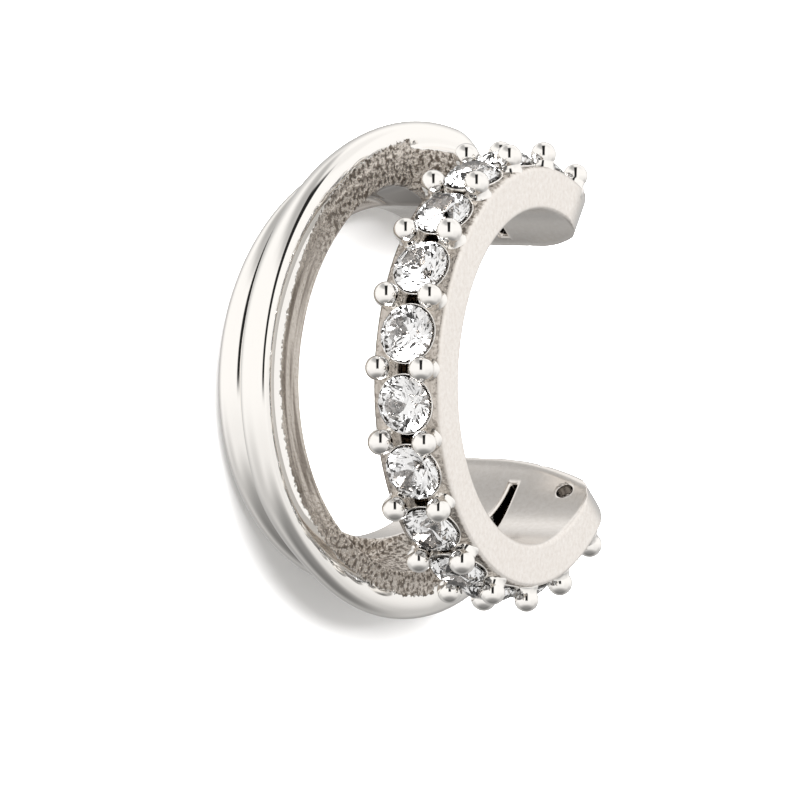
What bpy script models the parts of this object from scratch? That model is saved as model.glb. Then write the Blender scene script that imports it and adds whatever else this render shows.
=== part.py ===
"""A split ear cuff in silver, lying on its side.

A band set with round stones and two polished strands, one high and one low, fan out from a broad
end at each tip. The ring of the band stands round the Z axis before the cuff is leaned over onto
the flat side of its low strand. Angles run round the ring from the front, which is -Y.
"""

import math

import bmesh
import bpy
from mathutils import Matrix, Vector

MM = 0.001
MERGE_DISTANCE = 1e-7
SHARP_ANGLE = math.radians(35)

# Band with the stones
BAND_INNER_RADIUS = 3.73 * MM
BAND_OUTER_RADIUS = 4.68 * MM
BAND_WIDTH = 1.66 * MM
BAND_CAMBER = 0.05 * MM
EDGE_CHAMFER = 0.12 * MM

# High strand, next to the band
HIGH_INNER_RADIUS = 4.50 * MM
HIGH_UNDERSIDE_RADIUS = 4.20 * MM
HIGH_WALL_RADIUS = 5.12 * MM
HIGH_WALL_LOWER_RADIUS = 4.83 * MM
HIGH_CROWN_RADIUS = 5.66 * MM
HIGH_CROWN_LOWER_RADIUS = 5.53 * MM
HIGH_LOWER_START = math.radians(20)
HIGH_LOWER_END = math.radians(52)
HIGH_WIDTH = 0.94 * MM
HIGH_OFFSET = 2.01 * MM
HIGH_LEAN = math.radians(9.4)
HIGH_LEAN_TURN = math.radians(4.5)

# Low strand, on the far side of the high one
LOW_SHOULDER_RADIUS = 4.05 * MM
LOW_CROWN_RADIUS = 4.86 * MM
LOW_NEAR_OFFSET = 3.06 * MM
LOW_FAR_OFFSET = 3.96 * MM
LOW_LEAN = math.radians(13.2)

# Ends, where the three strands are one plate
END_CROWN_RADIUS = 4.78 * MM
END_WALL_RADIUS = 4.60 * MM
TAPER_START = math.radians(110)
TAPER_END = math.radians(134)
LAST_SECTION = math.radians(144)
SECTION_STEP = math.radians(3.9)
UPPER_TIP_ANGLE = math.radians(137.5)
LOWER_TIP_ANGLE = math.radians(141.3)
NEAR_CORNER_CUT = math.radians(10)
UPPER_CORNER_WIDTH = 1.30 * MM
LOWER_CORNER_WIDTH = 2.80 * MM
FAR_CORNER_CUT = math.radians(5)
FAR_CORNER_WIDTH = 0.55 * MM
EDGE_STEPS = 18

# Slot between the band and the high strand
SLOT_END = math.radians(131)
SLOT_CLOSING = math.radians(88)
SLOT_TIP_OFFSET = 1.20 * MM
SLOT_TIP_WIDTH = 0.16 * MM
UNDERCUT_START = math.radians(72)
UNDERCUT_END = math.radians(120)

# Stones, beads and their seats
STONE_COUNT = 13
STONE_PITCH = math.radians(18.89)
STONE_DIAMETER = 1.27 * MM
STONE_GIRDLE_RADIUS = 4.78 * MM
STONE_CLEARANCE = 0.03 * MM
CULET_HOLE_RADIUS = 0.045 * MM
TABLE_SHARE = 0.57
STAR_SHARE = 0.76
CROWN_SHARE = 0.165
GIRDLE_SHARE = 0.03
PAVILION_SHARE = 0.43
LOWER_FACET_SHARE = 0.24
BEAD_RADIUS = 0.285 * MM
BEAD_CENTRE_RADIUS = 4.99 * MM
BEAD_ROW_SPACING = 1.08 * MM
BEAD_SIDES = 12
BEAD_ARC_STEPS = 3
SEAT_SIDES = 16

# Round dimple inside the lower end
DIMPLE_ANGLE = math.radians(-128.5)
DIMPLE_OFFSET = 0.15 * MM
DIMPLE_RADIUS = 0.19 * MM
DIMPLE_DEPTH = 0.32 * MM

# How far a cutter stands past what it cuts, and how far the uncut body reaches into a cutter
OVERCUT = 0.6 * MM
OVERLAP = 0.1 * MM
WEB_DROP = 0.025 * MM

SILVER = ((0.86, 0.84, 0.81, 1.0), 1.0, 0.12)
CRYSTAL = ((0.95, 0.96, 0.98, 1.0), 0.0, 0.02)

# Places over a half-round strand, as shares of the half turn from its far side
LOW_DOME = (0.0, 0.10, 0.22, 0.36, 0.52, 0.70)
HIGH_DOME = (0.0, 0.12, 0.26, 0.42, 0.58, 0.74, 0.88, 1.0)


def mix(start, end, share):
    """The value that lies share of the way from start to end."""
    return start + (end - start) * share


def eased(value, start, end):
    """How far value is between start and end, from 0 to 1, with a soft start and stop."""
    share = min(max((value - start) / (end - start), 0.0), 1.0)
    return share * share * (3.0 - 2.0 * share)


def ring_point(radius, angle, offset):
    """A point at a radius and an angle round the ring, offset along its axis."""
    return Vector((-radius * math.sin(angle), -radius * math.cos(angle), offset))


def leaning_offset(offset, lean, radius, angle):
    """The axial place, at a radius and an angle, of a wall that leans away at the front."""
    return -offset - math.tan(lean) * radius * math.cos(angle)


def high_near(radius, angle):
    """The high strand's wall on the band's side, which leans most a little above the front."""
    return leaning_offset(HIGH_OFFSET, HIGH_LEAN, radius, angle - HIGH_LEAN_TURN)


def high_far(radius, angle):
    """The high strand's side next to the low strand."""
    return high_near(radius, angle) - HIGH_WIDTH


def low_near(radius, angle):
    """The low strand's wall under the high strand."""
    return leaning_offset(LOW_NEAR_OFFSET, LOW_LEAN, radius, angle)


def low_far(radius, angle):
    """The low strand's flat outer side, which the cuff rests on."""
    return leaning_offset(LOW_FAR_OFFSET, LOW_LEAN, radius, angle)


def dome(base_radius, crown_radius, far_offset, near_offset, shares):
    """Points over a half-round strand, from its far side to its near side."""
    middle = (far_offset + near_offset) / 2
    half = (near_offset - far_offset) / 2
    points = []
    for share in shares:
        turn = math.pi * share
        rise = (crown_radius - base_radius) * math.sin(turn)
        points.append((base_radius + rise, middle - half * math.cos(turn)))
    return points


def body_section(angle):
    """The metal's outline at an angle, as (radius, offset) pairs, with the slot still filled."""
    half = BAND_WIDTH / 2
    taper = eased(abs(angle), TAPER_START, TAPER_END)
    lower = eased(-angle, HIGH_LOWER_START, HIGH_LOWER_END)
    high_crown = mix(mix(HIGH_CROWN_RADIUS, HIGH_CROWN_LOWER_RADIUS, lower), END_CROWN_RADIUS, taper)
    high_wall = mix(mix(HIGH_WALL_RADIUS, HIGH_WALL_LOWER_RADIUS, lower), END_WALL_RADIUS, taper)
    low_crown = mix(LOW_CROWN_RADIUS, END_WALL_RADIUS, taper)
    inner = BAND_INNER_RADIUS
    chamfered = inner + EDGE_CHAMFER
    section = [
        (chamfered, half),
        (inner, half - EDGE_CHAMFER),
        (inner, low_far(inner, angle) + EDGE_CHAMFER),
        (chamfered, low_far(chamfered, angle)),
    ]
    low_dome = dome(
        LOW_SHOULDER_RADIUS,
        low_crown,
        low_far(LOW_SHOULDER_RADIUS, angle),
        high_far(LOW_SHOULDER_RADIUS, angle),
        LOW_DOME,
    )
    section += [(radius, max(offset, low_far(radius, angle))) for radius, offset in low_dome]
    section += dome(
        high_wall,
        high_crown,
        high_far(high_wall, angle),
        high_near(high_wall, angle) + OVERLAP / 2,
        HIGH_DOME,
    )
    section += [
        (high_wall - OVERLAP, high_near(high_wall, angle) + OVERLAP),
        (BAND_OUTER_RADIUS - WEB_DROP, -half - OVERLAP),
        (BAND_OUTER_RADIUS + BAND_CAMBER, 0.0),
        (BAND_OUTER_RADIUS, half),
    ]
    return section


def slot_section(angle):
    """The slot's outline at an angle: it parts the band from the strands, and undercuts the high one."""
    turn = abs(angle)
    closing = min(max((turn - SLOT_CLOSING) / (SLOT_END - SLOT_CLOSING), 0.0), 1.0)
    tip_near = -SLOT_TIP_OFFSET + SLOT_TIP_WIDTH / 2
    tip_far = -SLOT_TIP_OFFSET - SLOT_TIP_WIDTH / 2
    near = mix(-BAND_WIDTH / 2, tip_near, eased(closing, 0.0, 1.0))
    far_share = 1.0 - (1.0 - closing) ** 2
    undercut = eased(turn, UNDERCUT_START, UNDERCUT_END)
    lowest = BAND_INNER_RADIUS - OVERCUT
    highest = HIGH_CROWN_RADIUS + OVERCUT
    lip = mix(HIGH_INNER_RADIUS, lowest + 2 * OVERLAP, undercut)
    underside = mix(HIGH_UNDERSIDE_RADIUS, lowest + OVERLAP, undercut)
    far_top = mix(high_near(highest, angle), tip_far, far_share)
    far_lip = mix(high_near(lip, angle), tip_far, far_share)
    return [
        (lowest, near),
        (highest, near),
        (highest, far_top),
        (lip, far_lip),
        (underside, low_near(underside, angle)),
        (lowest, low_near(lowest, angle)),
    ]


def angles_between(last):
    """Even angles from -last to last."""
    count = max(2, math.ceil(2 * last / SECTION_STEP))
    return [mix(-last, last, number / count) for number in range(count + 1)]


def loft(name, rings, collection):
    """A closed object through rings of points, capped at both ends."""
    mesh = bpy.data.meshes.new(name)
    bm = bmesh.new()
    rows = [[bm.verts.new(point) for point in ring] for ring in rings]
    count = len(rows[0])
    for first, second in zip(rows, rows[1:]):
        for here in range(count):
            after = (here + 1) % count
            bm.faces.new((first[here], first[after], second[after], second[here]))
    bm.faces.new(rows[0])
    bm.faces.new(list(reversed(rows[-1])))
    bmesh.ops.recalc_face_normals(bm, faces=bm.faces)
    bm.to_mesh(mesh)
    bm.free()
    made = bpy.data.objects.new(name, mesh)
    collection.objects.link(made)
    return made


def object_of(name, bm, collection):
    """Turns a bmesh into an object of the collection."""
    mesh = bpy.data.meshes.new(name)
    bm.to_mesh(mesh)
    bm.free()
    made = bpy.data.objects.new(name, mesh)
    collection.objects.link(made)
    return made


def standing_on_ring(angle, offset, radius):
    """A frame on the ring whose Z axis points away from the ring's axis."""
    outward = ring_point(1.0, angle, 0.0)
    along = Vector((0.0, 0.0, 1.0))
    across = along.cross(outward)
    turned = Matrix((across, along, outward)).transposed().to_4x4()
    return Matrix.Translation(ring_point(radius, angle, offset)) @ turned


def stone_angles():
    """The angle of each stone, from the upper end to the lower one."""
    middle = (STONE_COUNT - 1) / 2
    return [(middle - number) * STONE_PITCH for number in range(STONE_COUNT)]


def make_body(collection):
    """The metal's outer form, before the slot, the seats and the ends are cut."""
    rings = []
    for angle in angles_between(LAST_SECTION):
        rings.append([ring_point(radius, angle, offset) for radius, offset in body_section(angle)])
    return loft("cuff_body", rings, collection)


def make_slot_cutter(collection):
    """The long slot, which narrows to a slit in each end."""
    rings = []
    for angle in angles_between(SLOT_END):
        rings.append([ring_point(radius, angle, offset) for radius, offset in slot_section(angle)])
    return loft("slot_cutter", rings, collection)


def end_angle(tip, corner_width, depth, width):
    """The angle of an end's edge at a depth from the band's side, with a long and a short corner."""
    near = min(max(depth / corner_width, 0.0), 1.0)
    far = min(max((width - depth) / FAR_CORNER_WIDTH, 0.0), 1.0)
    long_corner = NEAR_CORNER_CUT * (1.0 - near) ** 2
    short_corner = FAR_CORNER_CUT * (1.0 - math.sqrt(far * (2.0 - far)))
    return tip - long_corner - short_corner


def make_mouth_cutter(collection):
    """The wedge between the two ends, whose faces give each end its rounded edge."""
    near = BAND_WIDTH / 2 + OVERLAP / 5
    far = low_far(BAND_OUTER_RADIUS, LOWER_TIP_ANGLE) - OVERLAP / 5
    width = near - far
    reach = HIGH_CROWN_RADIUS + OVERCUT
    sweeps = [math.pi * step / EDGE_STEPS for step in range(EDGE_STEPS + 1)]
    depths = [width * (1.0 - math.cos(sweep)) / 2 for sweep in sweeps]
    rings = []
    for depth in (-OVERCUT, *depths, width + OVERCUT):
        offset = near - depth
        upper = end_angle(UPPER_TIP_ANGLE, UPPER_CORNER_WIDTH, depth, width)
        lower = end_angle(LOWER_TIP_ANGLE, LOWER_CORNER_WIDTH, depth, width)
        rings.append(
            [
                Vector((0.0, 0.0, offset)),
                ring_point(reach / math.cos(math.pi - upper), upper, offset),
                ring_point(reach / math.cos(math.pi - lower), -lower, offset),
            ]
        )
    return loft("mouth_cutter", rings, collection)


def turn(bm, profile, sides, place):
    """Turns a profile of (radius, height) pairs, which starts and ends on its axis, round Z."""
    before = set(bm.verts)
    corners = [bm.verts.new((radius, 0.0, height)) for radius, height in profile]
    edges = [bm.edges.new(pair) for pair in zip(corners, corners[1:])]
    bmesh.ops.spin(
        bm,
        geom=corners + edges,
        cent=(0.0, 0.0, 0.0),
        axis=(0.0, 0.0, 1.0),
        angle=math.tau,
        steps=sides,
    )
    turned = [vertex for vertex in bm.verts if vertex not in before]
    bmesh.ops.remove_doubles(bm, verts=turned, dist=MERGE_DISTANCE)
    turned = [vertex for vertex in bm.verts if vertex not in before]
    bmesh.ops.transform(bm, matrix=place, verts=turned)


def make_beads(collection):
    """Pairs of round-topped pegs between the stones, to be joined to the band."""
    foot = BAND_OUTER_RADIUS - BEAD_RADIUS - BEAD_CENTRE_RADIUS
    profile = [(0.0, foot), (BEAD_RADIUS, foot)]
    for step in range(BEAD_ARC_STEPS):
        rise = step / BEAD_ARC_STEPS * math.pi / 2
        profile.append((BEAD_RADIUS * math.cos(rise), BEAD_RADIUS * math.sin(rise)))
    profile.append((0.0, BEAD_RADIUS))
    bm = bmesh.new()
    for number in range(STONE_COUNT + 1):
        angle = (STONE_COUNT / 2 - number) * STONE_PITCH
        for side in (-0.5, 0.5):
            place = standing_on_ring(angle, side * BEAD_ROW_SPACING, BEAD_CENTRE_RADIUS)
            turn(bm, profile, BEAD_SIDES, place)
    bmesh.ops.recalc_face_normals(bm, faces=bm.faces)
    return object_of("bead_pegs", bm, collection)


def make_seat_cutter(collection):
    """A seat under each stone, a clearance away from its pavilion and girdle."""
    half_girdle = STONE_DIAMETER * GIRDLE_SHARE / 2
    depth = STONE_DIAMETER * PAVILION_SHARE + half_girdle
    wide = STONE_DIAMETER / 2 + STONE_CLEARANCE
    profile = (
        (0.0, -depth - STONE_CLEARANCE),
        (CULET_HOLE_RADIUS, -depth - STONE_CLEARANCE),
        (wide, -half_girdle - STONE_CLEARANCE),
        (wide, STONE_DIAMETER * CROWN_SHARE),
        (0.0, STONE_DIAMETER * CROWN_SHARE),
    )
    bm = bmesh.new()
    for angle in stone_angles():
        turn(bm, profile, SEAT_SIDES, standing_on_ring(angle, 0.0, STONE_GIRDLE_RADIUS))
    bmesh.ops.recalc_face_normals(bm, faces=bm.faces)
    return object_of("seat_cutter", bm, collection)


def make_dimple_cutter(collection):
    """A short drill for the round dimple inside the lower end."""
    bm = bmesh.new()
    length = DIMPLE_DEPTH + OVERCUT
    middle = BAND_INNER_RADIUS + DIMPLE_DEPTH - length / 2
    bmesh.ops.create_cone(
        bm,
        cap_ends=True,
        segments=SEAT_SIDES,
        radius1=DIMPLE_RADIUS,
        radius2=DIMPLE_RADIUS,
        depth=length,
        matrix=standing_on_ring(DIMPLE_ANGLE, DIMPLE_OFFSET, middle),
    )
    return object_of("dimple_cutter", bm, collection)


def brilliant_points():
    """The corners of a round brilliant whose girdle's middle is at Z = 0."""
    radius = STONE_DIAMETER / 2
    half_girdle = STONE_DIAMETER * GIRDLE_SHARE / 2
    crown = STONE_DIAMETER * CROWN_SHARE
    pavilion = STONE_DIAMETER * PAVILION_SHARE
    table = radius * TABLE_SHARE
    star = radius * STAR_SHARE
    lower = radius * LOWER_FACET_SHARE
    eighth = math.tau / 8
    lean = math.cos(eighth / 2)
    star_height = half_girdle + crown * (radius - star * lean) / (radius - table)
    lower_height = -half_girdle - pavilion * (1 - lower * lean / radius)
    rings = (
        # (radius, height, corners, first corner)
        (table, half_girdle + crown, 8, 0.0),
        (star, star_height, 8, eighth / 2),
        (radius, half_girdle, 16, 0.0),
        (radius, -half_girdle, 16, 0.0),
        (lower, lower_height, 8, eighth / 2),
    )
    points = [Vector((0.0, 0.0, -half_girdle - pavilion))]
    for size, height, corners, first in rings:
        for number in range(corners):
            turn = first + number * math.tau / corners
            points.append(Vector((size * math.cos(turn), size * math.sin(turn), height)))
    return points


def make_stones(collection, parent, material):
    """One brilliant in each seat, its table away from the ring's axis."""
    bm = bmesh.new()
    for point in brilliant_points():
        bm.verts.new(point)
    bmesh.ops.convex_hull(bm, input=bm.verts)
    bmesh.ops.recalc_face_normals(bm, faces=bm.faces)
    mesh = bpy.data.meshes.new("brilliant")
    bm.to_mesh(mesh)
    bm.free()
    mesh.materials.append(material)
    for number, angle in enumerate(stone_angles(), start=1):
        stone = bpy.data.objects.new(f"stone_{number:02d}", mesh)
        collection.objects.link(stone)
        stone.parent = parent
        stone.matrix_local = standing_on_ring(angle, 0.0, STONE_GIRDLE_RADIUS)


def finish(name, colour, metallic, roughness):
    """A plain material of one colour."""
    material = bpy.data.materials.new(name)
    material.use_nodes = True
    shader = material.node_tree.nodes["Principled BSDF"]
    shader.inputs["Base Color"].default_value = colour
    shader.inputs["Metallic"].default_value = metallic
    shader.inputs["Roughness"].default_value = roughness
    return material


def combine(body, other, operation):
    """Joins or cuts the body with another object."""
    other.hide_render = True
    other.display_type = "WIRE"
    change = body.modifiers.new(other.name, "BOOLEAN")
    change.operation = operation
    change.object = other
    change.solver = "EXACT"


def new_collection(name):
    """A collection of the scene."""
    collection = bpy.data.collections.new(name)
    bpy.context.scene.collection.children.link(collection)
    return collection


def rest_on_side(parent, body):
    """Leans the cuff onto its low strand, with its box's bottom centre at the origin."""
    parent.rotation_euler = (-LOW_LEAN, 0.0, 0.0)
    bpy.context.view_layer.update()
    graph = bpy.context.evaluated_depsgraph_get()
    evaluated = body.evaluated_get(graph)
    corners = [evaluated.matrix_world @ vertex.co for vertex in evaluated.data.vertices]
    widths = [corner.x for corner in corners]
    depths = [corner.y for corner in corners]
    heights = [corner.z for corner in corners]
    parent.location = (-(min(widths) + max(widths)) / 2, -(min(depths) + max(depths)) / 2, -min(heights))


def main():
    """Builds the cuff."""
    for old in list(bpy.data.objects):
        bpy.data.objects.remove(old)
    collection = new_collection("ear_cuff")
    cutters = new_collection("cutters")
    silver = finish("silver", *SILVER)
    crystal = finish("crystal", *CRYSTAL)
    rest = bpy.data.objects.new("rest_frame", None)
    collection.objects.link(rest)
    body = make_body(collection)
    body.parent = rest
    body.data.materials.append(silver)
    shapes = (
        (make_slot_cutter(cutters), "DIFFERENCE"),
        (make_mouth_cutter(cutters), "DIFFERENCE"),
        (make_beads(cutters), "UNION"),
        (make_seat_cutter(cutters), "DIFFERENCE"),
        (make_dimple_cutter(cutters), "DIFFERENCE"),
    )
    for other, operation in shapes:
        other.parent = rest
        combine(body, other, operation)
    body.data.shade_smooth()
    body.data.set_sharp_from_angle(angle=SHARP_ANGLE)
    make_stones(collection, rest, crystal)
    rest_on_side(rest, body)


main()
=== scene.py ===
"""The finish of a split silver ear cuff that lies on its side, in a plain pale studio.

The metal is one smooth casting, worked out as a field of distances round the ring and meshed along
the ring's own lines. Lengths in the classes are in millimetres, and angles in degrees run round the
ring from its front, positive towards the upper end.
"""

import logging
import math
from collections.abc import Callable
from dataclasses import dataclass, field
from enum import Enum

import bmesh
import bpy
import numpy as np
from bpy.types import ID, Material, Mesh, Node, NodeSocket, NodeTree, Object
from mathutils import Matrix, Vector

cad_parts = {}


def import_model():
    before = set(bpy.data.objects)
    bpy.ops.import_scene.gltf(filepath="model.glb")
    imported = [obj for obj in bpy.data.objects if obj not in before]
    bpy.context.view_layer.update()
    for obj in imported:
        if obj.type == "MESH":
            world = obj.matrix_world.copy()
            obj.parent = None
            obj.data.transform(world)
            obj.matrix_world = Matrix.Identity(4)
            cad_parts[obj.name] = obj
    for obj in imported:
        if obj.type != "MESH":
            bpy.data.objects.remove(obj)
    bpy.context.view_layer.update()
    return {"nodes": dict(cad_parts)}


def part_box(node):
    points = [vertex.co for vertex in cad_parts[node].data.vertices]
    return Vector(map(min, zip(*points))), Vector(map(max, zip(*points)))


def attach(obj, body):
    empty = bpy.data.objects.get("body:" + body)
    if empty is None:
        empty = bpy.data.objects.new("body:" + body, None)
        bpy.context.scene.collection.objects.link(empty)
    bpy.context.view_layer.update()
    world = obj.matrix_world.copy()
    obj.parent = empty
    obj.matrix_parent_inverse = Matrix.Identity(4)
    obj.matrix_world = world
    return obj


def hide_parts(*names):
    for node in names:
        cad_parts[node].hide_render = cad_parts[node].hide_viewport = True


LOG = logging.getLogger("ear_cuff")
MM = 0.001
BODY = "root"
LEAST_STEEP = 0.05
LEAST_MOVE = 1e-9
RISING = (0.0, 1.0)
FALLING = (1.0, 0.0)

Pair = tuple[float, float]
Triple = tuple[float, float, float]
Colour = tuple[float, float, float, float]
Values = float | np.ndarray


class Slot(Enum):
    """The material slots' names."""

    SILVER = "silver"
    CRYSTAL = "crystal"


class Region(Enum):
    """Vertex attributes that say how a stretch of the metal was left, and where it is darkened or painted
    with shade.
    """

    AS_CAST = "as_cast"
    COARSE = "coarse"
    SETTING = "setting"
    # Darkened pits and dimple, and painted shade in the slit, under the high strand and in the seats.
    PIT_AND_SHADE = "pit"
    SIDE = "side"
    RING = "ring"


def linear(colour: str) -> Colour:
    """Turns an sRGB hex colour into linear light.

    Args:
        colour: Six hex digits after a hash.

    Returns:
        Red, green, blue and an alpha of one.
    """
    parts = [int(colour[place : place + 2], 16) / 255 for place in (1, 3, 5)]
    light = [part / 12.92 if part <= 0.04045 else ((part + 0.055) / 1.055) ** 2.4 for part in parts]
    return (*light, 1.0)


def add_node(tree: NodeTree, kind: str, inputs: dict | None = None, **settings) -> Node:
    """Adds a node with its settings and links.

    Args:
        tree: The tree that gets the node.
        kind: The node's type name.
        inputs: Input names or numbers, each with a value or with an output socket to link.
        settings: Properties of the node itself.

    Returns:
        The new node.
    """
    node = tree.nodes.new(kind)
    for name, value in settings.items():
        setattr(node, name, value)
    for name, value in (inputs or {}).items():
        if isinstance(value, NodeSocket):
            tree.links.new(value, node.inputs[name])
        else:
            node.inputs[name].default_value = value
    return node


def maths(tree: NodeTree, operation: str, *values) -> NodeSocket:
    """A sum on values or sockets."""
    return add_node(tree, "ShaderNodeMath", dict(enumerate(values)), operation=operation).outputs[0]


def map_range(tree: NodeTree, value: NodeSocket, edge: Pair, levels: tuple, **settings) -> NodeSocket:
    """A ramp between two levels, numbers or sockets, as a value passes from one edge to the other."""
    names = ("Value", "From Min", "From Max", "To Min", "To Max")
    inputs = dict(zip(names, (value, *edge, *levels)))
    return add_node(tree, "ShaderNodeMapRange", inputs, **settings).outputs[0]


def blend(tree: NodeTree, share: NodeSocket, first, second) -> NodeSocket:
    """A colour between two."""
    inputs = {"Fac": share, "Color1": first, "Color2": second}
    return add_node(tree, "ShaderNodeMixRGB", inputs).outputs[0]


def noise(tree: NodeTree, place: NodeSocket, size_mm: float, detail: float) -> NodeSocket:
    """A noise whose lumps have a real size, with some finer layers of detail."""
    inputs = {"Vector": place, "Scale": 1.0 / (size_mm * MM), "Detail": detail}
    return add_node(tree, "ShaderNodeTexNoise", inputs).outputs["Fac"]


def new_material(name: str) -> tuple[Material, NodeTree, Node]:
    """A new material, its tree and its shader."""
    material = bpy.data.materials.new(name)
    material.use_nodes = True
    return material, material.node_tree, material.node_tree.nodes["Principled BSDF"]


def mix(start: Values, end: Values, share: Values) -> Values:
    """The value that lies a share of the way from start to end."""
    return start + (end - start) * share


def eased(value: Values, start: Values, end: Values) -> Values:
    """How far a value is between start and end, from 0 to 1, with a soft start and stop."""
    share = np.clip((value - start) / (end - start), 0.0, 1.0)
    return share * share * (3.0 - 2.0 * share)


def smooth_max(first: Values, second: Values, width: Values) -> Values:
    """The larger of two distances, with the corner between them rounded over a width."""
    near = np.maximum(width - np.abs(first - second), 0.0) / width
    return np.maximum(first, second) + near * near * width / 4


def smooth_min(first: Values, second: Values, width: Values) -> Values:
    """The smaller of two distances, with the corner between them filled over a width."""
    return -smooth_max(-first, -second, width)


@dataclass(frozen=True)
class RestPose:
    """How the ring leans over onto the flat side of its low strand.

    Attributes:
        lean: Angle of the lean about the X axis.
        shift: Place of the ring's middle, in millimetres.
    """

    lean: float
    shift: Triple

    def matrix(self) -> Matrix:
        """The ring's frame in the cuff's frame, in metres."""
        turned = Matrix.Rotation(-math.radians(self.lean), 4, "X")
        return Matrix.Translation(Vector(self.shift) * MM) @ turned

    def to_world(self, points: np.ndarray) -> np.ndarray:
        """Takes points of the ring, in millimetres, to the cuff's frame, in metres."""
        placed = np.array(self.matrix())
        return points * MM @ placed[:3, :3].T + placed[:3, 3]


@dataclass(frozen=True)
class Casting:
    """The metal's form, as signed distances that are negative inside it."""

    band_inner: float = 3.73
    band_outer: float = 4.68
    band_half: float = 0.83
    camber: float = 0.05
    high_lip: float = 4.50
    high_underside: float = 4.20
    high_wall: float = 5.12
    high_wall_lower: float = 4.83
    high_crown: float = 5.66
    high_crown_lower: float = 5.53
    high_lower: Pair = (20.0, 52.0)
    high_width: float = 0.94
    high_offset: float = 2.01
    high_lean: float = 9.4
    high_lean_turn: float = 4.5
    high_skew: float = 0.28
    high_shoulder: float = 0.15
    low_tuck: float = 0.05
    low_shoulder: float = 4.05
    low_crown: float = 4.86
    low_near_offset: float = 3.06
    low_far_offset: float = 3.96
    low_lean: float = 13.2
    end_crown: float = 4.78
    end_wall: float = 4.60
    taper: Pair = (110.0, 134.0)
    upper_tip: float = 139.2
    lower_tip: float = 143.3
    near_corner_cut: float = 10.0
    upper_corner_width: float = 1.30
    lower_corner_width: float = 2.80
    far_corner_cut: float = 3.0
    far_corner_width: float = 0.35
    slot_end: float = 131.0
    slot_closing: float = 88.0
    slot_tip: float = 1.20
    slot_tip_width: float = 0.16
    undercut: Pair = (72.0, 120.0)
    edge: float = 0.10
    groove: float = 0.07
    filled: float = 0.60
    levelled: float = 0.25
    filling: Pair = (85.0, 118.0)
    lip: float = 0.36
    corner: float = 0.8
    low_rise: float = 0.02
    web_sink: float = 0.02
    web_lap: float = 0.2
    lip_drop: float = 0.4
    underside_drop: float = 0.5

    def leaning(self, offset: float, lean: float, radius: Values, angle: Values) -> Values:
        """The axial place of a wall that leans away at the front."""
        return -offset - math.tan(math.radians(lean)) * radius * np.cos(angle)

    def high_near(self, radius: Values, angle: Values) -> Values:
        """The high strand's wall on the band's side, which leans most a little above the front."""
        turned = angle - math.radians(self.high_lean_turn)
        return self.leaning(self.high_offset, self.high_lean, radius, turned)

    def high_far(self, radius: Values, angle: Values) -> Values:
        """The high strand's side next to the low strand."""
        return self.high_near(radius, angle) - self.high_width

    def low_near(self, radius: Values, angle: Values) -> Values:
        """The low strand's wall under the high strand."""
        return self.leaning(self.low_near_offset, self.low_lean, radius, angle)

    def low_far(self, radius: Values, angle: Values) -> Values:
        """The low strand's flat outer side."""
        return self.leaning(self.low_far_offset, self.low_lean, radius, angle)

    def half_round(
        self, radius: Values, offset: Values, base: Values, crown: Values, sides: tuple, skew: float = 0.0
    ) -> Values:
        """Distance to a strand whose top is a half round between its far and near side.

        The half round rises from its base to its crown, with its ridge off centre by the skew.
        """
        far, near = sides
        half = (near - far) / 2
        rise = np.maximum(radius - base, 0.0) / (crown - base)
        across = (offset - (near + far) / 2) / half
        across = across - skew * np.maximum(1.0 - across * across, 0.0)
        return (np.sqrt(rise * rise + across * across) - 1.0) * half

    def tapered(self, angle: Values, upper: float, lower: float, end: float) -> Values:
        """A radius that eases from the upper half's value to the lower half's, and to the ends'."""
        turned = np.degrees(angle)
        half = mix(upper, lower, eased(-turned, *self.high_lower))
        return mix(half, end, eased(np.abs(turned), *self.taper))

    def wall_top(self, angle: Values) -> Values:
        """Radius where the high strand's wall meets its crown."""
        return self.tapered(angle, self.high_wall, self.high_wall_lower, self.end_wall)

    def outer_form(self, angle: Values, radius: Values, offset: Values) -> Values:
        """Distance to the metal's outer form, with the slot and the hollow still filled."""
        turned = np.abs(np.degrees(angle))
        share = eased(turned, *self.taper)
        crown = self.tapered(angle, self.high_crown, self.high_crown_lower, self.end_crown)
        wall = self.wall_top(angle)
        near = self.high_near(wall, angle)
        far = self.high_far(wall, angle)
        base = wall + self.high_shoulder * (1.0 - share)
        high = self.half_round(radius, offset, base, crown, (far, near), self.high_skew)
        low_crown = mix(self.low_crown, self.end_wall + self.low_rise, share)
        low_sides = (self.low_far(self.low_shoulder, angle), far + self.low_tuck)
        low = self.half_round(radius, offset, self.low_shoulder, low_crown, low_sides)
        low = smooth_max(low, self.low_far(radius, angle) - offset, self.edge)
        half = self.band_half
        top = self.band_outer + self.camber * (1.0 - np.minimum((offset / half) ** 2, 1.0))
        band = smooth_max(np.abs(offset) - half, radius - top, self.edge)
        along = np.clip((offset + half) / (near + half), 0.0, 1.0)
        web_top = mix(self.band_outer - self.web_sink, wall - self.web_sink, along)
        web = np.maximum(radius - web_top, offset + half - self.web_lap)
        web = np.maximum(web, near - self.web_lap - offset)
        strands = smooth_min(high, low, mix(self.groove, self.filled, eased(turned, *self.filling)))
        return smooth_min(smooth_min(band, web, self.groove), strands, mix(self.groove, self.levelled, share))

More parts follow.
